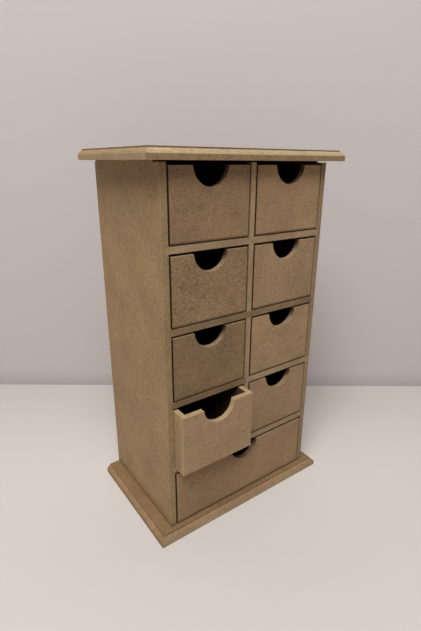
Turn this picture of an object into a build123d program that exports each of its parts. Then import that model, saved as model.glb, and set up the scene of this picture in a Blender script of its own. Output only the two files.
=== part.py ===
from build123d import *
import os

# Tabletop drawer cabinet for sewing thread, made of raw fibreboard.
#
# A tall carcass stands on a moulded base board and carries a lid of the same
# moulded board. Four shelves and an upright divider make four rows of two narrow
# compartments over one wide one, and each holds a plain box drawer that is pulled
# by a half-round finger notch in its front. One drawer stands a little way out.
#
# Millimetres. +Z is up and the drawers face -Y. The origin is the middle of the
# base board's underside.

# ---------------------------------------------------------------- sizes of the carcass
carcass_width = 182.0          # over the outer faces of the two side panels
carcass_depth = 125.0          # from the panels' front edges to their back edges
side_thickness = 5.5
shelf_thickness = 6.0
divider_thickness = 5.5
back_thickness = 3.0
narrow_opening_height = 64.0   # clear height of each row of two drawers
wide_opening_height = 63.0     # and of the lowest row, which holds one wide drawer
narrow_rows = 4                # rows of two drawers, above the row of one

# ---------------------------------------------------------------- base and lid boards
board_thickness = 9.5
side_overhang = 15.5           # how far both boards stand out past the side panels
front_overhang = 9.2           # and past the carcass's front edges; the backs are flush
moulding_width = 4.0           # how far the moulding runs in from the board's edge
moulding_step = 1.2            # small upright step under the board's flat top
moulding_rise = 3.8            # height of the sloping band under that step
moulding_bulge = 0.45          # how far the band swells out of a straight slope

# ---------------------------------------------------------------- joints of the carcass
housing_depth = 2.0            # how far a shelf's end goes into the side panel
rebate_width = 2.5             # how far the back panel goes into the side panel
tab_depth = 4.0                # how far a side panel's tab goes into the lid or base
tab_front_setback = 10.6       # from the side panel's front edge to its tabs
tab_back_setback = 8.7         # from the side panel's back edge to its tabs
lid_slit = 1.3                 # the tabs bottom out and leave this slit under the lid
base_tab_room = 0.5            # the base tabs stop short, so the shoulders sit down
fit_clearance = 0.1            # glue room on each face of a tab, housing or halving

# ---------------------------------------------------------------- drawers
front_thickness = 5.0
wall_thickness = 5.0
floor_thickness = 3.0
side_play = 1.2                # between a drawer and its compartment, on each side
shelf_play = 2.2               # between a narrow drawer's top and the shelf above it
lid_play = 3.3                 # between a drawer of the highest row and the lid
wide_play = 3.0                # between the wide drawer's top and the lowest shelf
slide_gap = 0.2                # between a drawer's underside and what it slides on
front_lift = 0.5               # how far a front's foot stays above the walls' feet
back_play = 2.0                # between a shut drawer and the back panel
notch_radius = 17.2            # finger notch, an arc a little short of half-round
notch_depth = 16.7             # from a drawer's top edge to the bottom of its notch
notch_lip = 1.3                # rounding where the notch meets the top edge
eased_edge = 0.35              # sharp corners that are taken off with sandpaper
pulled_out = 15.6              # how far the lowest narrow drawer on the left stands out
lies_left = 0.7                # and how far it lies to the left in its compartment
held_back = 28.0               # length of a drawer still inside at full travel

# ---------------------------------------------------------------- places that follow
board_width = carcass_width + 2 * side_overhang
board_depth = carcass_depth + front_overhang
row_pitch = narrow_opening_height + shelf_thickness

back_y = board_depth / 2                       # back of the carcass and of both boards
front_y = back_y - carcass_depth               # front edges of the carcass
inner_back_y = back_y - back_thickness         # front face of the back panel

base_top = board_thickness
lid_underside = base_top + wide_opening_height + narrow_rows * row_pitch
lid_top = lid_underside + board_thickness
carcass_top = lid_underside - lid_slit

inner_side_x = carcass_width / 2 - side_thickness
inner_width = 2 * inner_side_x
inner_depth = inner_back_y - front_y
narrow_opening_width = (inner_width - divider_thickness) / 2
narrow_opening_x = (divider_thickness + narrow_opening_width) / 2

narrow_drawer_height = narrow_opening_height - shelf_play - slide_gap
highest_drawer_height = narrow_opening_height - lid_play - slide_gap
wide_drawer_height = wide_opening_height - wide_play - slide_gap
narrow_drawer_width = narrow_opening_width - 2 * side_play
wide_drawer_width = inner_width - 2 * side_play
drawer_depth = inner_depth - back_play
drawer_travel = drawer_depth - held_back

FROM_LOW_CORNER = (Align.MIN, Align.MIN, Align.MIN)
SHELF_NUMBERS = range(1, narrow_rows + 1)      # 1 is the highest shelf


def block(low, high):
    """A plain block between two opposite corners."""
    size = [b - a for a, b in zip(low, high)]
    return Pos(*low) * Box(*size, align=FROM_LOW_CORNER)


def shelf_underside(number):
    """Height of a shelf's lower face."""
    return base_top + wide_opening_height + (narrow_rows - number) * row_pitch


def row_floor(row):
    """Height of what the drawers of a row slide on; the last row stands on the base."""
    return shelf_underside(row) + shelf_thickness if row in SHELF_NUMBERS else base_top


# ---------------------------------------------------------------- base and lid
def board_outline(low, high, high_is_moulded):
    """Section of a moulded board, from its low edge to its high edge."""
    step_foot = board_thickness - moulding_step
    face_top = step_foot - moulding_rise
    low_edge = Line((low, 0), (low, face_top))
    low_band = SagittaArc((low, face_top), (low + moulding_width, step_foot), moulding_bulge)
    low_step = Line((low + moulding_width, step_foot), (low + moulding_width, board_thickness))
    outline = low_edge + low_band + low_step
    if high_is_moulded:
        top_end = high - moulding_width
        outline += Line((top_end, board_thickness), (top_end, step_foot))
        outline += SagittaArc((top_end, step_foot), (high, face_top), moulding_bulge)
        outline += Line((high, face_top), (high, 0))
    else:
        top_end = high
        outline += Line((high, board_thickness), (high, 0))
    outline += Line((low + moulding_width, board_thickness), (top_end, board_thickness))
    outline += Line((high, 0), (low, 0))
    return make_face(outline)


def moulded_board():
    """The moulding runs along the front and both ends and meets at mitred corners."""
    half_width = board_width / 2
    across = Plane.XZ * board_outline(-half_width, half_width, True)
    along = Plane.YZ * board_outline(-back_y, back_y, False)
    ends = extrude(across, amount=board_depth, both=True)
    front = extrude(along, amount=board_width, both=True)
    return ends & front


def tab_mortises(low_z, high_z):
    """Pockets for the side panels' tabs."""
    pockets = []
    for side in (-1, 1):
        outer = side * carcass_width / 2
        inner = side * inner_side_x
        low_x = min(outer, inner) - fit_clearance
        high_x = max(outer, inner) + fit_clearance
        low_y = front_y + tab_front_setback - fit_clearance
        high_y = back_y - tab_back_setback + fit_clearance
        pockets.append(block((low_x, low_y, low_z), (high_x, high_y, high_z)))
    return pockets


def base_board():
    pocket_floor = base_top - tab_depth - base_tab_room
    return moulded_board() - tab_mortises(pocket_floor, base_top)


def lid_board():
    board = Pos(0, 0, lid_underside) * moulded_board()
    return board - tab_mortises(lid_underside, lid_underside + tab_depth)


# ---------------------------------------------------------------- carcass
def left_side_panel():
    """Upright side with tabs at both ends, a housing for each shelf and a back rebate."""
    outer_x = -carcass_width / 2
    inner_x = -inner_side_x
    panel = block((outer_x, front_y, base_top), (inner_x, back_y, carcass_top))
    tab_front = front_y + tab_front_setback
    tab_back = back_y - tab_back_setback
    panel += block(
        (outer_x, tab_front, base_top - tab_depth),
        (inner_x, tab_back, lid_underside + tab_depth),
    )
    for number in SHELF_NUMBERS:
        housing_low = shelf_underside(number) - fit_clearance
        housing_high = housing_low + shelf_thickness + 2 * fit_clearance
        panel -= block(
            (inner_x - housing_depth, front_y, housing_low),
            (inner_x, back_y, housing_high),
        )
    panel -= block(
        (inner_x - rebate_width, inner_back_y, base_top),
        (inner_x, back_y, carcass_top),
    )
    return panel


def right_side_panel():
    return mirror(left_side_panel(), about=Plane.YZ)


def shelf(number):
    """Shelf with its ends in the sides; the divider is halved into its back half."""
    half_length = inner_side_x + housing_depth
    low_z = shelf_underside(number)
    board = block(
        (-half_length, front_y, low_z),
        (half_length, inner_back_y, low_z + shelf_thickness),
    )
    if number < narrow_rows:
        half_slot = divider_thickness / 2 + fit_clearance
        board -= block(
            (-half_slot, front_y + inner_depth / 2, low_z),
            (half_slot, inner_back_y, low_z + shelf_thickness),
        )
    return board


def centre_divider():
    """Upright between the narrow drawers, halved over the shelves from its front edge."""
    half_thickness = divider_thickness / 2
    foot = shelf_underside(narrow_rows) + shelf_thickness
    upright = block(
        (-half_thickness, front_y, foot),
        (half_thickness, inner_back_y, carcass_top),
    )
    for number in SHELF_NUMBERS[:-1]:
        slot_low = shelf_underside(number) - fit_clearance
        slot_high = slot_low + shelf_thickness + 2 * fit_clearance
        upright -= block(
            (-half_thickness, front_y, slot_low),
            (half_thickness, front_y + inner_depth / 2, slot_high),
        )
    return upright


def back_panel():
    """Thin panel let into the rebates of the side panels; it closes the slit under the lid."""
    half_width = inner_side_x + rebate_width
    return block((-half_width, inner_back_y, base_top), (half_width, back_y, lid_underside))


# ---------------------------------------------------------------- drawers
def drawer_front(width, height):
    """Front board with its finger notch; its front face is at y = 0, the walls' feet at z = 0."""
    board = Pos(0, (front_lift + height) / 2) * Rectangle(width, height - front_lift)
    board -= Pos(0, height - notch_depth + notch_radius) * Circle(notch_radius)
    lips = board.vertices().filter_by(
        lambda corner: corner.Y > height - notch_lip and abs(corner.X) < width / 2 - notch_lip
    )
    board = fillet(lips, notch_lip)
    front = extrude(Plane.XZ * board, amount=-front_thickness)
    face_edges = front.faces().sort_by(Axis.Y)[0].edges()
    return chamfer(face_edges, eased_edge)


def drawer(width, height):
    """The five boards of a drawer, in the place of its front's lower middle point."""
    half_width = width / 2
    walls_back = drawer_depth - wall_thickness
    inner_x = half_width - wall_thickness
    return {
        "front": drawer_front(width, height),
        "left_wall": block(
            (-half_width, front_thickness, 0),
            (-inner_x, walls_back, height),
        ),
        "right_wall": block(
            (inner_x, front_thickness, 0),
            (half_width, walls_back, height),
        ),
        "back_wall": block(
            (-half_width, walls_back, 0),
            (half_width, drawer_depth, height),
        ),
        "floor": block(
            (-inner_x, front_thickness, 0),
            (inner_x, walls_back, floor_thickness),
        ),
    }


# Each drawer: its name, width, height, middle, row and how far it is out.
drawer_places = []
for row in SHELF_NUMBERS:
    width = narrow_drawer_width
    height = highest_drawer_height if row == 1 else narrow_drawer_height
    is_open = row == narrow_rows
    left_middle = -narrow_opening_x - (lies_left if is_open else 0.0)
    left_out = pulled_out if is_open else 0.0
    drawer_places.append((f"left_drawer_{row}", width, height, left_middle, row, left_out))
    drawer_places.append((f"right_drawer_{row}", width, height, narrow_opening_x, row, 0.0))
drawer_places.append(
    ("wide_drawer", wide_drawer_width, wide_drawer_height, 0.0, narrow_rows + 1, 0.0)
)


# ---------------------------------------------------------------- the whole cabinet
pieces = {
    "base_board": base_board(),
    "left_side_panel": left_side_panel(),
    "right_side_panel": right_side_panel(),
    "back_panel": back_panel(),
    "centre_divider": centre_divider(),
    "lid_board": lid_board(),
}
for shelf_number in SHELF_NUMBERS:
    pieces[f"shelf_{shelf_number}"] = shelf(shelf_number)
for name, width, height, middle_x, row, out in drawer_places:
    place = Pos(middle_x, front_y - out, row_floor(row) + slide_gap)
    for board_name, board in drawer(width, height).items():
        pieces[f"{name}_{board_name}"] = place * board

os.makedirs("parts", exist_ok=True)
for name, piece in pieces.items():
    export_step(piece, f"parts/{name}.step")
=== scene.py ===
import math

import bpy
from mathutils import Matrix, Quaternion, Vector


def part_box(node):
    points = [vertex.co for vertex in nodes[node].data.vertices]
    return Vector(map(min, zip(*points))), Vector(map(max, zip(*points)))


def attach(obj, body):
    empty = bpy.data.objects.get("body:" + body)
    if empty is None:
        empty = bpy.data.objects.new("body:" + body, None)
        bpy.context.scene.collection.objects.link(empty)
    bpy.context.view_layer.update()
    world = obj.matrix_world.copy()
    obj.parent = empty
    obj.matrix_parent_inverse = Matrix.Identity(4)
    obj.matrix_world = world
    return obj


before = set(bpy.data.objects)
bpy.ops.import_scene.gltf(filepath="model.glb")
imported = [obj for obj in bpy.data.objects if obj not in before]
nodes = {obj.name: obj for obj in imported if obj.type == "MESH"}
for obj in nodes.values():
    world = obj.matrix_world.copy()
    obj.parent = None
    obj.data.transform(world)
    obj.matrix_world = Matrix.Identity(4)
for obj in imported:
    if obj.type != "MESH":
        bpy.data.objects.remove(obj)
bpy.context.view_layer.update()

# ------------------------------------------------------------------ base board
# The cabinet stands on a board of raw fibreboard, nominal 9 mm, with a moulding
# routed along its front and both ends. The router's band is lighter than the pressed
# face, and the small step above it is a little darker.


def srgb(red, green, blue):
    """A colour written as 0 to 255 screen values, as linear light."""
    channels = []
    for value in (red, green, blue):
        share = value / 255
        low = share / 12.92
        high = ((share + 0.055) / 1.055) ** 2.4
        channels.append(low if share <= 0.04045 else high)
    return (*channels, 1.0)


def add(tree, kind, at, **settings):
    """A node of a tree, with some of its settings."""
    node = tree.nodes.new(kind)
    node.location = at
    for key, value in settings.items():
        setattr(node, key, value)
    return node


def wire(tree, source, target):
    tree.links.new(source, target)


def fill(tree, socket, value):
    """Gives an input a plain value, or links another node's output to it."""
    if isinstance(value, bpy.types.NodeSocket):
        wire(tree, value, socket)
    else:
        socket.default_value = value


def arithmetic(tree, operation, *values, at):
    """One sum of sockets or plain numbers."""
    node = add(tree, "ShaderNodeMath", at, operation=operation)
    for socket, value in zip(node.inputs, values):
        fill(tree, socket, value)
    return node.outputs[0]


def blend_colors(tree, share, first, second, at, blend_type="MIX"):
    """The first colour where the share is 0, the second where it is 1."""
    node = add(tree, "ShaderNodeMix", at, data_type="RGBA", blend_type=blend_type)
    fill(tree, node.inputs["Factor"], share)
    fill(tree, node.inputs["A"], first)
    fill(tree, node.inputs["B"], second)
    return node.outputs["Result"]


def ramp(tree, value, low, high, at):
    """0 below the low value, 1 above the high one, smooth between."""
    node = add(tree, "ShaderNodeMapRange", at, interpolation_type="SMOOTHSTEP")
    wire(tree, value, node.inputs["Value"])
    node.inputs["From Min"].default_value = low
    node.inputs["From Max"].default_value = high
    return node.outputs[0]


def noise(tree, vector, scale, detail, roughness, distortion, at):
    node = add(tree, "ShaderNodeTexNoise", at)
    wire(tree, vector, node.inputs["Vector"])
    node.inputs["Scale"].default_value = scale
    node.inputs["Detail"].default_value = detail
    node.inputs["Roughness"].default_value = roughness
    node.inputs["Distortion"].default_value = distortion
    return node.outputs["Fac"]


def new_group(name, inputs, outputs):
    """An empty shader node group with named sockets: (name, type, default value)."""
    group = bpy.data.node_groups.new(name, "ShaderNodeTree")
    for label, kind, value in inputs:
        socket = group.interface.new_socket(label, in_out="INPUT", socket_type=kind)
        if value is not None:
            socket.default_value = value
    for label, kind in outputs:
        group.interface.new_socket(label, in_out="OUTPUT", socket_type=kind)
    return group, add(group, "NodeGroupInput", (-1400, 0)), add(group, "NodeGroupOutput", (900, 0))


# About how many of the fibre's marks fit in a metre. The specks of bark are the middles
# of cells, and only a share of the cells has one.
CLOUDS_PER_METRE = 26.0
BLOTCHES_PER_METRE = 200.0
FLECKS_PER_METRE = 760.0
TINTS_PER_METRE = 70.0
SPECKS_PER_METRE = 210.0
SPECK_SIZE = 0.17
SPECK_SHARE = 0.2


def build_fibre_group():
    """The look of pressed wood fibre: clouds, blotches, flecks, tints and specks of bark."""
    group, given, made = new_group(
        "pressed_fibre",
        [
            ("Vector", "NodeSocketVector", None),
            ("Grain", "NodeSocketVector", (1.0, 1.0, 1.0)),
            ("Clouds", "NodeSocketFloat", 1.0),
            ("Blotches", "NodeSocketFloat", 1.0),
            ("Flecks", "NodeSocketFloat", 1.0),
        ],
        [
            ("Tone", "NodeSocketFloat"),
            ("Warmth", "NodeSocketFloat"),
            ("Specks", "NodeSocketFloat"),
            ("Height", "NodeSocketFloat"),
        ],
    )
    place = given.outputs["Vector"]
    drawn_out = add(group, "ShaderNodeVectorMath", (-1250, -150), operation="MULTIPLY")
    wire(group, place, drawn_out.inputs[0])
    wire(group, given.outputs["Grain"], drawn_out.inputs[1])
    along = drawn_out.outputs[0]
    clouds = noise(group, place, CLOUDS_PER_METRE, 2.0, 0.5, 0.3, (-1100, 500))
    blotches = noise(group, along, BLOTCHES_PER_METRE, 3.0, 0.7, 0.6, (-1100, 250))
    soft_flecks = noise(group, along, FLECKS_PER_METRE, 2.0, 0.7, 0.6, (-1100, 0))
    flecks = ramp(group, soft_flecks, 0.33, 0.67, (-950, 0))
    tone = 0.0
    for step, (label, layer) in enumerate((("Clouds", clouds), ("Blotches", blotches), ("Flecks", flecks))):
        at_y = 500 - 250 * step
        signed = arithmetic(group, "SUBTRACT", layer, 0.5, at=(-850, at_y))
        weighed = arithmetic(group, "MULTIPLY", signed, given.outputs[label], at=(-650, at_y))
        tone = arithmetic(group, "ADD", weighed, tone, at=(-400, at_y))

    warmth = noise(group, place, TINTS_PER_METRE, 3.0, 0.7, 0.8, (-1100, -250))

    cells = add(group, "ShaderNodeTexVoronoi", (-1100, -500), feature="F1")
    wire(group, place, cells.inputs["Vector"])
    cells.inputs["Scale"].default_value = SPECKS_PER_METRE
    near = arithmetic(group, "LESS_THAN", cells.outputs["Distance"], SPECK_SIZE, at=(-850, -500))
    cell_color = add(group, "ShaderNodeSeparateColor", (-850, -700))
    wire(group, cells.outputs["Color"], cell_color.inputs[0])
    chosen = arithmetic(group, "LESS_THAN", cell_color.outputs[0], SPECK_SHARE, at=(-650, -700))
    specks = arithmetic(group, "MULTIPLY", near, chosen, at=(-400, -600))

    wire(group, tone, made.inputs["Tone"])
    wire(group, warmth, made.inputs["Warmth"])
    wire(group, specks, made.inputs["Specks"])
    wire(group, flecks, made.inputs["Height"])
    return group


pressed_fibre = build_fibre_group()

THICKNESS_AXES = {"x": (1.0, 0.0, 0.0), "y": (0.0, 1.0, 0.0), "z": (0.0, 0.0, 1.0)}
BARK = srgb(84, 62, 44)
COOLER = (0.93, 1.0, 1.07, 1.0)
WARMER = (1.07, 1.0, 0.93, 1.0)
# How far a surface's normal agrees with the board's thickness, from a square cut at 0
# to a pressed face at 1. Between the two numbers the one look gives way to the other.
CUT_TO_SLOPE = (0.2, 0.4)
SLOPE_TO_FACE = (0.9, 0.97)


class Fibreboard:
    """Raw fibreboard: one colour on the pressed faces, one on slopes, one on square cuts."""

    def __init__(self, name, face, routed, sawn, axis, seed, grain=(1.0, 1.0, 1.0),
                 clouds=0.5, blotches=0.6, flecks=0.25, specks=0.5, end_cuts=None):
        self.material = bpy.data.materials.new(name)
        self.material.use_nodes = True
        tree = self.tree = self.material.node_tree
        tree.nodes.clear()
        out = add(tree, "ShaderNodeOutputMaterial", (1900, 0))
        self.shader = add(tree, "ShaderNodeBsdfPrincipled", (1600, 0))
        wire(tree, self.shader.outputs[0], out.inputs["Surface"])
        self.shader.inputs["Specular IOR Level"].default_value = 0.2

        self.where = add(tree, "ShaderNodeTexCoord", (-1500, 0))
        shifted = add(tree, "ShaderNodeVectorMath", (-1300, 0), operation="ADD")
        wire(tree, self.where.outputs["Object"], shifted.inputs[0])
        shifted.inputs[1].default_value = (seed * 0.37, seed * 0.71, seed * 0.53)
        self.fibre = add(tree, "ShaderNodeGroup", (-1100, 0), node_tree=pressed_fibre)
        wire(tree, shifted.outputs[0], self.fibre.inputs["Vector"])
        self.fibre.inputs["Grain"].default_value = grain
        self.fibre.inputs["Clouds"].default_value = clouds
        self.fibre.inputs["Blotches"].default_value = blotches
        self.fibre.inputs["Flecks"].default_value = flecks

        facing = add(tree, "ShaderNodeVectorMath", (-1100, -400), operation="DOT_PRODUCT")
        wire(tree, self.where.outputs["Normal"], facing.inputs[0])
        facing.inputs[1].default_value = THICKNESS_AXES[axis]
        flatness = arithmetic(tree, "ABSOLUTE", facing.outputs["Value"], at=(-900, -400))
        self.is_slope = ramp(tree, flatness, *CUT_TO_SLOPE, (-700, -400))
        self.is_face = ramp(tree, flatness, *SLOPE_TO_FACE, (-700, -650))
        # Painted light and shade: the cuts on the ends get their own colours, apart from the front's, for
        # the light that falls differently on the ends.
        if end_cuts:
            turned = add(tree, "ShaderNodeSeparateXYZ", (-900, 700))
            wire(tree, self.where.outputs["Normal"], turned.inputs[0])
            sideways = arithmetic(tree, "ABSOLUTE", turned.outputs["X"], at=(-700, 700))
            forward = arithmetic(tree, "ABSOLUTE", turned.outputs["Y"], at=(-700, 850))
            is_end = arithmetic(tree, "GREATER_THAN", sideways, forward, at=(-500, 700))
            routed_end, sawn_end = end_cuts
            routed = blend_colors(tree, is_end, routed, routed_end, (-600, 500))
            sawn = blend_colors(tree, is_end, sawn, sawn_end, (-600, 300))
        cut = blend_colors(tree, self.is_slope, sawn, routed, (-450, 300))
        self.color = blend_colors(tree, self.is_face, cut, face, (-250, 250))
        self.specks = specks

    def coordinates(self, at):
        """X, Y and Z in the cabinet's frame, in metres."""
        parts = add(self.tree, "ShaderNodeSeparateXYZ", at)
        wire(self.tree, self.where.outputs["Object"], parts.inputs[0])
        return parts.outputs

    def darken_cuts_above(self, level, color):
        """Square cuts above a level of the board are darker."""
        tree = self.tree
        place = self.coordinates((-500, -900))
        is_high = arithmetic(tree, "GREATER_THAN", place["Z"], level, at=(-300, -900))
        on_cut = arithmetic(tree, "SUBTRACT", 1.0, self.is_slope, at=(-300, -1050))
        share = arithmetic(tree, "MULTIPLY", is_high, on_cut, at=(-100, -950))
        self.color = blend_colors(tree, share, self.color, color, (150, 250))

    def paint_foot_shade(self, foot, height, share, color):
        """Painted shade: the board is darker just above its foot, in the corner where it stands on the base.
        """
        tree = self.tree
        place = self.coordinates((-500, -900))
        risen = ramp(tree, place["Z"], foot, foot + height, (-300, -900))
        shaded = arithmetic(tree, "MULTIPLY_ADD", risen, -share, share, at=(-100, -950))
        self.color = blend_colors(tree, shaded, self.color, color, (150, 250))

    def finish(self):
        """Lays the fibre over the colours and gives the board its roughness and bump."""
        tree = self.tree
        brightness = arithmetic(tree, "ADD", self.fibre.outputs["Tone"], 1.0, at=(700, 0))
        toned = add(tree, "ShaderNodeVectorMath", (900, 250), operation="SCALE")
        wire(tree, self.color, toned.inputs[0])
        wire(tree, brightness, toned.inputs["Scale"])
        tint = blend_colors(tree, self.fibre.outputs["Warmth"], COOLER, WARMER, (900, 0))
        tinted = blend_colors(tree, 1.0, toned.outputs[0], tint, (1100, 200), "MULTIPLY")
        speck_share = arithmetic(tree, "MULTIPLY", self.fibre.outputs["Specks"], self.specks, at=(1100, -50))
        speckled = blend_colors(tree, speck_share, tinted, BARK, (1350, 200))
        wire(tree, speckled, self.shader.inputs["Base Color"])
        rough = arithmetic(tree, "MULTIPLY_ADD", self.fibre.outputs["Height"], 0.25, 0.58, at=(1350, -100))
        wire(tree, rough, self.shader.inputs["Roughness"])
        bump = add(tree, "ShaderNodeBump", (1350, -350))
        bump.inputs["Strength"].default_value = 0.4
        bump.inputs["Distance"].default_value = 0.0002
        wire(tree, self.fibre.outputs["Height"], bump.inputs["Height"])
        wire(tree, bump.outputs[0], self.shader.inputs["Normal"])
        return self.material


def dress(node, material):
    """Gives a board its material."""
    piece = nodes[node]
    piece.data.materials.clear()
    piece.data.materials.append(material)


ROUTED = srgb(155, 131, 98)
step_height = 0.0013


def step_level(node):
    """Where the small square step below the board's top face begins."""
    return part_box(node)[1][2] - step_height


base_wood = Fibreboard(
    "base_board", srgb(126, 100, 70), srgb(142, 115, 86), srgb(158, 138, 110), "z", seed=1.0,
    # Painted shade: the base's ends are darker than its front.
    end_cuts=(srgb(140, 112, 82), srgb(136, 113, 83)),
)
base_wood.darken_cuts_above(step_level("base_board"), srgb(116, 91, 63))
dress("base_board", base_wood.finish())

# ------------------------------------------------------------------ side panels
# Two uprights of thin fibreboard. Their tabs go up into the lid and down into the
# base, and their front edges show the saw's cut beside the ends of the shelves.
base_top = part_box("base_board")[1][2]
foot_shade = srgb(98, 74, 48)
foot_shade_height = 0.0045
foot_shade_share = 0.55
for node, sawn_front in (
    ("left_side_panel", srgb(143, 121, 88)),
    ("right_side_panel", srgb(140, 118, 92)),
):
    side_wood = Fibreboard(
        node, srgb(154, 127, 93), ROUTED, sawn_front, "x", seed=2.0, grain=(1.0, 1.0, 0.6),
        clouds=0.5, blotches=0.45, flecks=0.38,
    )
    # Painted shade in the corner above the base: a darker band along the panel's foot.
    side_wood.paint_foot_shade(base_top, foot_shade_height, foot_shade_share, foot_shade)
    dress(node, side_wood.finish())

# ------------------------------------------------------------------ shelves
# Four shelves of the same board, glued into housings in the sides. Only their sawn
# front edges show between the drawers; on shelf 2 and the left of shelf 3 they are darker.
PALE_SAWN = srgb(152, 128, 99)
DARK_SAWN = srgb(125, 102, 76)


def shelf_material(name, seed, dark_left, dark_right):
    """The sawn edge can differ on the two sides of the divider."""
    wood = Fibreboard(
        name, srgb(132, 107, 80), ROUTED, PALE_SAWN, "z", seed, grain=(0.4, 1.0, 1.0)
    )
    tree = wood.tree
    if dark_left or dark_right:
        on_cut = arithmetic(tree, "SUBTRACT", 1.0, wood.is_face, at=(-100, -700))
        if not (dark_left and dark_right):
            side_test = "LESS_THAN" if dark_left else "GREATER_THAN"
            across = wood.coordinates((-500, -900))["X"]
            on_side = arithmetic(tree, side_test, across, 0.0, at=(-300, -900))
            on_cut = arithmetic(tree, "MULTIPLY", on_cut, on_side, at=(100, -800))
        wood.color = blend_colors(tree, on_cut, wood.color, DARK_SAWN, (300, 250))
    return wood.finish()


DARK_ENDS = {1: (False, False), 2: (True, True), 3: (True, False), 4: (False, False)}
for number, (dark_left, dark_right) in DARK_ENDS.items():
    shelf_wood = shelf_material(f"shelf_{number}", 3.0 + 0.1 * number, dark_left, dark_right)
    dress(f"shelf_{number}", shelf_wood)

# ------------------------------------------------------------------ divider
# One upright of the same board between the narrow drawers. It is halved over the three
# upper shelves, stands on the lowest one and is glued.
divider_wood = Fibreboard(
    "divider", srgb(132, 107, 80), ROUTED, srgb(153, 127, 98), "x", seed=4.0, grain=(1.0, 1.0, 0.4)
).finish()
dress("centre_divider", divider_wood)

# ------------------------------------------------------------------ back panel
# A thin, hard-pressed board glued into the rebates of the sides. It is a little
# darker and smoother than the thicker boards.
back_wood = Fibreboard(
    "back_panel", srgb(130, 104, 77), ROUTED, srgb(134, 109, 82), "y", seed=5.0, flecks=0.25, specks=0.3
).finish()
dress("back_panel", back_wood)

# ------------------------------------------------------------------ lid board
# The same moulded board as the base, the same way up. The tabs of the sides end in it
# and carry it a little above the carcass, so a thin dark slit shows under it.
lid_wood = Fibreboard(
    "lid_board", srgb(143, 118, 88), srgb(167, 144, 110), srgb(138, 115, 85), "z", seed=6.0,
    # Painted light and shade: the slope on the lid's ends is darker than the front's, and their square cut
    # is lighter.
    grain=(0.5, 0.8, 1.0), flecks=0.3, end_cuts=(srgb(146, 122, 88), srgb(158, 134, 103)),
)
lid_wood.darken_cuts_above(step_level("lid_board"), srgb(126, 101, 73))
dress("lid_board", lid_wood.finish())

# ------------------------------------------------------------------ glue
# Wood glue holds the lid. At each rear corner, behind the side panel's tab, it has
# filled the slit between the panel and the lid and dried as a yellowish bead.
slit_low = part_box("centre_divider")[1][2]
slit_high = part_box("back_panel")[1][2]
back_end_x, back_face_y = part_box("back_panel")[1][:2]
side_face_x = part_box("right_side_panel")[1][0]
bead_length = 0.0083
bead_inset = 0.0003
bead_side_room = 0.0002
bead_rings = 17
bead_points = 20


def glue_material():
    """Dried wood glue, smoother than the board and uneven in colour."""
    material = bpy.data.materials.new("dried_glue")
    material.use_nodes = True
    tree = material.node_tree
    tree.nodes.clear()
    out = add(tree, "ShaderNodeOutputMaterial", (500, 0))
    shader = add(tree, "ShaderNodeBsdfPrincipled", (200, 0))
    wire(tree, shader.outputs[0], out.inputs["Surface"])
    where = add(tree, "ShaderNodeTexCoord", (-800, 0))
    ripples = noise(tree, where.outputs["Object"], 900.0, 2.0, 0.5, 0.2, (-600, 0))
    uneven = blend_colors(tree, ripples, srgb(150, 124, 82), srgb(176, 152, 108), (-200, 100))
    wire(tree, uneven, shader.inputs["Base Color"])
    rough = arithmetic(tree, "MULTIPLY_ADD", ripples, 0.2, 0.35, at=(-200, -150))
    wire(tree, rough, shader.inputs["Roughness"])
    bump = add(tree, "ShaderNodeBump", (-200, -350))
    bump.inputs["Strength"].default_value = 0.3
    bump.inputs["Distance"].default_value = 0.0001
    wire(tree, ripples, bump.inputs["Height"])
    wire(tree, bump.outputs[0], shader.inputs["Normal"])
    return material


def glue_bead(name, side, material):
    """A bead along the slit, oval across, flattened by both boards and blunt at its ends."""
    middle_x = side * (back_end_x + side_face_x) / 2
    middle_z = (slit_low + slit_high) / 2
    half_width = (side_face_x - back_end_x) / 2 - bead_side_room
    half_height = (slit_high - slit_low) / 2
    corners = []
    for ring in range(bead_rings):
        along = ring / (bead_rings - 1)
        fullness = max(1 - abs(2 * along - 1) ** 8, 0.02) ** 0.5
        swell = fullness * (1 + 0.08 * math.sin(11 * along + side))
        y = back_face_y - bead_inset - bead_length * along
        for point in range(bead_points):
            angle = 2 * math.pi * point / bead_points
            across = math.copysign(abs(math.cos(angle)) ** 0.8, math.cos(angle))
            upward = math.copysign(abs(math.sin(angle)) ** 0.5, math.sin(angle))
            corners.append((
                middle_x + across * half_width * swell,
                y,
                middle_z + upward * half_height * fullness,
            ))
    faces = [tuple(reversed(range(bead_points))), tuple(range(len(corners) - bead_points, len(corners)))]
    for ring in range(bead_rings - 1):
        for point in range(bead_points):
            first = ring * bead_points + point
            second = ring * bead_points + (point + 1) % bead_points
            faces.append((first, second, second + bead_points, first + bead_points))
    mesh = bpy.data.meshes.new(name)
    mesh.from_pydata(corners, [], faces)
    mesh.shade_smooth()
    mesh.materials.append(material)
    bead = bpy.data.objects.new(name, mesh)
    bpy.context.scene.collection.objects.link(bead)
    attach(bead, "cabinet")


dried_glue = glue_material()
glue_bead("left_glue_bead", -1, dried_glue)
glue_bead("right_glue_bead", 1, dried_glue)

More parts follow.
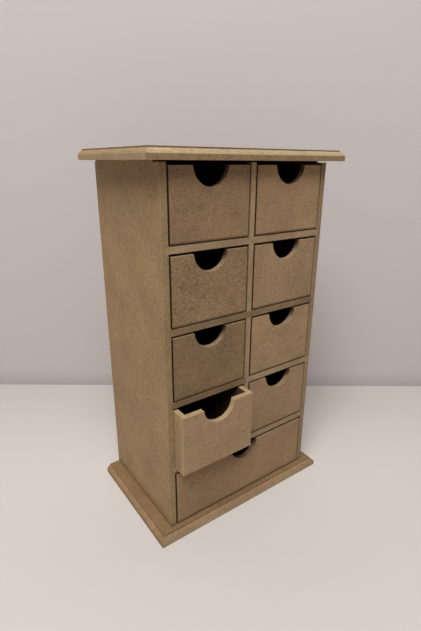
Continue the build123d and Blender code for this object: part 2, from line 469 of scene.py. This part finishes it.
# ------------------------------------------------------------------ drawers
# Nine boxes of thin board, butted and glued. The fronts are cut from different sheets,
# so each has its own tone and flecks. Painted shade darkens their ends and feet close to
# the face, where they stand in the dark gaps, except on the drawer that stands open; their
# top edges and notches are pale.
FRONTS = {
    "left_drawer_1": (srgb(140, 113, 85), 0.42),
    "left_drawer_2": (srgb(134, 109, 81), 0.58),
    "left_drawer_3": (srgb(128, 104, 77), 0.50),
    "left_drawer_4": (srgb(157, 130, 99), 0.20),
    "right_drawer_1": (srgb(153, 125, 93), 0.26),
    "right_drawer_2": (srgb(148, 122, 93), 0.40),
    "right_drawer_3": (srgb(154, 127, 95), 0.28),
    "right_drawer_4": (srgb(148, 121, 93), 0.25),
    "wide_drawer": (srgb(149, 121, 91), 0.22),
}
OPEN_DRAWER = "left_drawer_4"
# Painted shade: a shut drawer's cuts are darker than those of the open drawer, which stands out in the
# light.
shut_notch_shade = srgb(140, 117, 91)
box_face = srgb(158, 131, 97)
box_edge = srgb(162, 139, 106)
# Painted shade on the inner faces of the boxes.
box_inside_shade = srgb(88, 62, 41)
# Painted shade for the gaps round a shut drawer and for the top of its notch.
gap_shade = srgb(46, 25, 8)
notch_reach = 0.0186
top_edge_depth = 0.0006
foot_edge_height = 0.001
notch_dark_above = 0.003
notch_pale_below = 0.012
notch_shade_strength = 0.75
shade_fades_from = 0.001
shade_fades_to = 0.0024
shade_loss = 0.9
arris_width = 0.0028
arris_shade = 0.85
end_narrowness = 2.4


def front_material(drawer, tone, flecks, seed):
    """A front: pressed face, finger notch, and for a shut drawer painted shade on its ends, foot and notch.
    """
    (left, face, foot), (right, _, top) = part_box(f"{drawer}_front")
    is_open = drawer == OPEN_DRAWER
    # A shut front gets the shaded cut colour, the open one the lit box edge.
    notch_cut = box_edge if is_open else shut_notch_shade
    wood = Fibreboard(
        f"{drawer}_front", tone, notch_cut, notch_cut, "y", seed, grain=(0.7, 1.0, 1.0),
        blotches=0.6 - 0.3 * flecks, flecks=flecks, specks=0.6,
    )
    if is_open:
        return wood.finish()
    tree = wood.tree
    place = wood.coordinates((-900, -900))
    from_middle = arithmetic(tree, "SUBTRACT", place["X"], (left + right) / 2, at=(-700, -900))
    from_top = arithmetic(tree, "SUBTRACT", place["Z"], top, at=(-700, -1050))
    behind_face = arithmetic(tree, "SUBTRACT", place["Y"], face, at=(-700, -1250))
    sideways = arithmetic(tree, "ABSOLUTE", from_middle, at=(-500, -900))
    side_gap = arithmetic(tree, "SUBTRACT", (right - left) / 2, sideways, at=(-300, -900))
    foot_gap = arithmetic(tree, "SUBTRACT", place["Z"], foot, at=(-500, -1200))

    # Painted shade: the notch is dark near the top edge, below the shelf above, and pale at its bottom.
    near_notch = arithmetic(tree, "LESS_THAN", sideways, notch_reach, at=(-100, -1000))
    off_foot = arithmetic(tree, "GREATER_THAN", foot_gap, foot_edge_height, at=(-100, -1400))
    in_notch = arithmetic(tree, "MULTIPLY", near_notch, off_foot, at=(100, -1100))
    high = ramp(tree, from_top, -notch_pale_below, -notch_dark_above, (100, -1300))
    notch_shade = arithmetic(tree, "MULTIPLY", high, notch_shade_strength, at=(250, -1300))
    notch_share = arithmetic(tree, "MULTIPLY", in_notch, notch_shade, at=(400, -1200))

    # Painted shade for the gaps: the ends and the foot are dark near the face and pale further back.
    deep = ramp(tree, behind_face, shade_fades_from, shade_fades_to, (-100, -1200))
    shallow = arithmetic(tree, "MULTIPLY_ADD", deep, -shade_loss, 1.0, at=(100, -1200))
    off_notch = arithmetic(tree, "SUBTRACT", 1.0, in_notch, at=(250, -1000))
    ends_or_foot = arithmetic(tree, "MULTIPLY", off_notch, shallow, at=(400, -1000))
    cut_share = arithmetic(tree, "ADD", ends_or_foot, notch_share, at=(550, -1100))
    below_top = arithmetic(tree, "LESS_THAN", from_top, -top_edge_depth, at=(-100, -850))
    under_top = arithmetic(tree, "MULTIPLY", below_top, cut_share, at=(700, -1000))
    on_cut = arithmetic(tree, "SUBTRACT", 1.0, wood.is_face, at=(-100, -700))
    edge_share = arithmetic(tree, "MULTIPLY", under_top, on_cut, at=(850, -900))

    # On the face the painted shade fades inwards, faster from the ends than from the foot.
    narrowed = arithmetic(tree, "MULTIPLY", side_gap, end_narrowness, at=(-100, -1550))
    nearest = arithmetic(tree, "MINIMUM", narrowed, foot_gap, at=(100, -1550))
    inward = ramp(tree, nearest, 0.0, arris_width, (250, -1550))
    arris = arithmetic(tree, "MULTIPLY_ADD", inward, -arris_shade, arris_shade, at=(400, -1550))
    share = arithmetic(tree, "MAXIMUM", edge_share, arris, at=(1000, -900))
    wood.color = blend_colors(tree, share, wood.color, gap_shade, (550, 250))
    return wood.finish()


def box_material(name, axis, inward, seed):
    """A box board: its inner face carries painted shade, darker than the outer one."""
    wood = Fibreboard(name, box_face, box_edge, box_edge, axis, seed, flecks=0.3)
    tree = wood.tree
    facing_in = add(tree, "ShaderNodeVectorMath", (-300, -900), operation="DOT_PRODUCT")
    wire(tree, wood.where.outputs["Normal"], facing_in.inputs[0])
    facing_in.inputs[1].default_value = inward
    is_inner = ramp(tree, facing_in.outputs["Value"], 0.9, 0.97, (-100, -900))
    wood.color = blend_colors(tree, is_inner, wood.color, box_inside_shade, (550, 250))
    return wood.finish()


BOX_BOARDS = {
    "left_wall": ("x", (1.0, 0.0, 0.0)),
    "right_wall": ("x", (-1.0, 0.0, 0.0)),
    "back_wall": ("y", (0.0, -1.0, 0.0)),
    "floor": ("z", (0.0, 0.0, 1.0)),
}
for order, (drawer, (tone, flecks)) in enumerate(FRONTS.items()):
    dress(f"{drawer}_front", front_material(drawer, tone, flecks, 10.0 + order))
    for step, (board, (axis, inward)) in enumerate(BOX_BOARDS.items()):
        node = f"{drawer}_{board}"
        dress(node, box_material(node, axis, inward, 30.0 + 5 * order + 1.3 * step))

# ------------------------------------------------------------------ table and wall
# A pale table top with a pale wall close behind it, both with painted shade in their
# corner. The wall shows from the front only, so that it hides nothing from the other
# sides, and far from the cabinet the table fades into the pale room.
ROOM_COLOR = srgb(193, 187, 184)


def paint(name, color, towards, near, far, shade):
    """Matt paint with painted shade: darker by a share where a direction's reach falls from far to near.

    Gives back the material, a mix with its second shader still free, and the coordinates.
    """
    material = bpy.data.materials.new(name)
    material.use_nodes = True
    tree = material.node_tree
    tree.nodes.clear()
    out = add(tree, "ShaderNodeOutputMaterial", (600, 0))
    shader = add(tree, "ShaderNodeBsdfPrincipled", (0, 0))
    shader.inputs["Roughness"].default_value = 0.85
    shader.inputs["Specular IOR Level"].default_value = 0.2
    where = add(tree, "ShaderNodeTexCoord", (-1000, 0))
    reach = add(tree, "ShaderNodeVectorMath", (-800, 0), operation="DOT_PRODUCT")
    wire(tree, where.outputs["Object"], reach.inputs[0])
    reach.inputs[1].default_value = towards
    clear_of_corner = ramp(tree, reach.outputs["Value"], near, far, (-600, 0))
    in_corner = tuple(channel * (1 - shade) for channel in color[:3]) + (1.0,)
    wire(tree, blend_colors(tree, clear_of_corner, in_corner, color, (-300, 0)), shader.inputs["Base Color"])
    mix = add(tree, "ShaderNodeMixShader", (300, 0))
    wire(tree, shader.outputs[0], mix.inputs[1])
    wire(tree, mix.outputs[0], out.inputs["Surface"])
    return material, mix, where


def seen_directly(tree, at):
    """1 for rays that show a thing as it is: straight, in a gloss or through glass."""
    left, height = at
    ray = add(tree, "ShaderNodeLightPath", at)
    straight = ray.outputs["Is Camera Ray"]
    in_gloss = ray.outputs["Is Glossy Ray"]
    through_glass = ray.outputs["Is Transmission Ray"]
    either = arithmetic(tree, "MAXIMUM", straight, in_gloss, at=(left + 200, height))
    return arithmetic(tree, "MAXIMUM", either, through_glass, at=(left + 400, height))


def sheet_of(name, corners, material):
    mesh = bpy.data.meshes.new(name)
    mesh.from_pydata(corners, [], [(0, 1, 2, 3)])
    mesh.materials.append(material)
    made = bpy.data.objects.new(name, mesh)
    bpy.context.scene.collection.objects.link(made)
    return made


stage_reach = 6.0
fade_starts = 0.9
fade_ends = 2.4
wall_heading = math.radians(35.678)
wall_distance = 0.2045
away = Vector((math.sin(wall_heading), math.cos(wall_heading), 0.0))
# Painted shade on the table, darker towards the foot of the wall.
table_paint, table_mix, table_where = paint(
    "table_paint", srgb(200, 193, 187), towards=-away, near=-wall_distance, far=0.02, shade=0.11
)
tree = table_paint.node_tree
from_cabinet = add(tree, "ShaderNodeVectorMath", (-800, -400), operation="LENGTH")
wire(tree, table_where.outputs["Object"], from_cabinet.inputs[0])
distance = ramp(tree, from_cabinet.outputs["Value"], fade_starts, fade_ends, (-600, -400))
fading = arithmetic(tree, "MULTIPLY", distance, seen_directly(tree, (-900, -700)), at=(-200, -500))
room = add(tree, "ShaderNodeEmission", (0, -400))
room.inputs["Color"].default_value = ROOM_COLOR
wire(tree, fading, table_mix.inputs[0])
wire(tree, room.outputs[0], table_mix.inputs[2])
sheet_of(
    "table_top",
    [(-stage_reach, -stage_reach, 0), (stage_reach, -stage_reach, 0),
     (stage_reach, stage_reach, 0), (-stage_reach, stage_reach, 0)],
    table_paint,
)

# Painted shade on the wall, darker towards its foot on the table.
wall_paint, wall_mix, _ = paint(
    "wall_paint", srgb(195, 188, 185), towards=(0.0, 0.0, 1.0), near=-0.004, far=0.03, shade=0.2
)
tree = wall_paint.node_tree
side = add(tree, "ShaderNodeNewGeometry", (0, 200))
clear = add(tree, "ShaderNodeBsdfTransparent", (0, -400))
wire(tree, side.outputs["Backfacing"], wall_mix.inputs[0])
wire(tree, clear.outputs[0], wall_mix.inputs[2])
wall_foot = away * wall_distance
wall_half = Vector((math.cos(wall_heading), -math.sin(wall_heading), 0.0)) * stage_reach
wall_height = Vector((0.0, 0.0, 4.0))
wall = sheet_of(
    "wall",
    [wall_foot - wall_half, wall_foot + wall_half,
     wall_foot + wall_half + wall_height, wall_foot - wall_half + wall_height],
    wall_paint,
)
wall.visible_shadow = False

# ------------------------------------------------------------------ light
# One broad soft lamp high up in front and to the left, a weak one from behind, and a
# faint even glow. Seen beyond the table, the room is as pale as the wall.
world = bpy.data.worlds.new("room_glow")
bpy.context.scene.world = world
world.use_nodes = True
tree = world.node_tree
glow = tree.nodes["Background"]
glow.inputs["Color"].default_value = srgb(255, 254, 252)
glow.inputs["Strength"].default_value = 0.07
beyond = add(tree, "ShaderNodeBackground", (0, -300))
beyond.inputs["Color"].default_value = ROOM_COLOR
room_mix = add(tree, "ShaderNodeMixShader", (300, 0))
wire(tree, seen_directly(tree, (-700, 300)), room_mix.inputs[0])
wire(tree, glow.outputs[0], room_mix.inputs[1])
wire(tree, beyond.outputs[0], room_mix.inputs[2])
wire(tree, room_mix.outputs[0], tree.nodes["World Output"].inputs["Surface"])
cabinet_middle = Vector((0.0, 0.0, 0.15))


def panel_light(name, heading, distance, width, power):
    """A square panel lamp that faces the cabinet from a heading."""
    data = bpy.data.lights.new(name, "AREA")
    data.size = width
    data.energy = power
    lamp = bpy.data.objects.new(name, data)
    bpy.context.scene.collection.objects.link(lamp)
    towards_lamp = Vector(heading).normalized()
    lamp.location = cabinet_middle + towards_lamp * distance
    lamp.rotation_mode = "QUATERNION"
    lamp.rotation_quaternion = towards_lamp.to_track_quat("Z", "Y")
    lamp.visible_camera = False


panel_light("ceiling_lamp", heading=(-0.36, -0.36, 0.86), distance=2.2, width=1.2, power=58.0)
panel_light("back_fill", heading=(0.55, 0.75, 0.42), distance=2.2, width=1.8, power=8.0)

# ------------------------------------------------------------------ camera
# A wide lens close by, to the left of the cabinet and level with the slit under its
# lid, looking down a little.
photo_height = 631
focal_pixels = 426.985
sensor_long_side = 36.0
camera_data = bpy.data.cameras.new("camera")
camera_data.sensor_width = sensor_long_side
camera_data.lens = sensor_long_side * focal_pixels / photo_height
camera = bpy.data.objects.new("camera", camera_data)
bpy.context.scene.collection.objects.link(camera)
camera_azimuth = math.radians(-35.678)
camera_elevation = math.radians(19.717)
camera_roll = math.radians(0.250)
back_of_camera = Vector((
    math.sin(camera_azimuth) * math.cos(camera_elevation),
    -math.cos(camera_azimuth) * math.cos(camera_elevation),
    math.sin(camera_elevation),
))
camera.location = (-0.25194, -0.34649, 0.35085)
camera.rotation_mode = "QUATERNION"
upright = back_of_camera.to_track_quat("Z", "Y")
camera.rotation_quaternion = upright @ Quaternion((0.0, 0.0, 1.0), camera_roll)
bpy.context.scene.camera = camera

bpy.context.scene.view_settings.view_transform = "Standard"
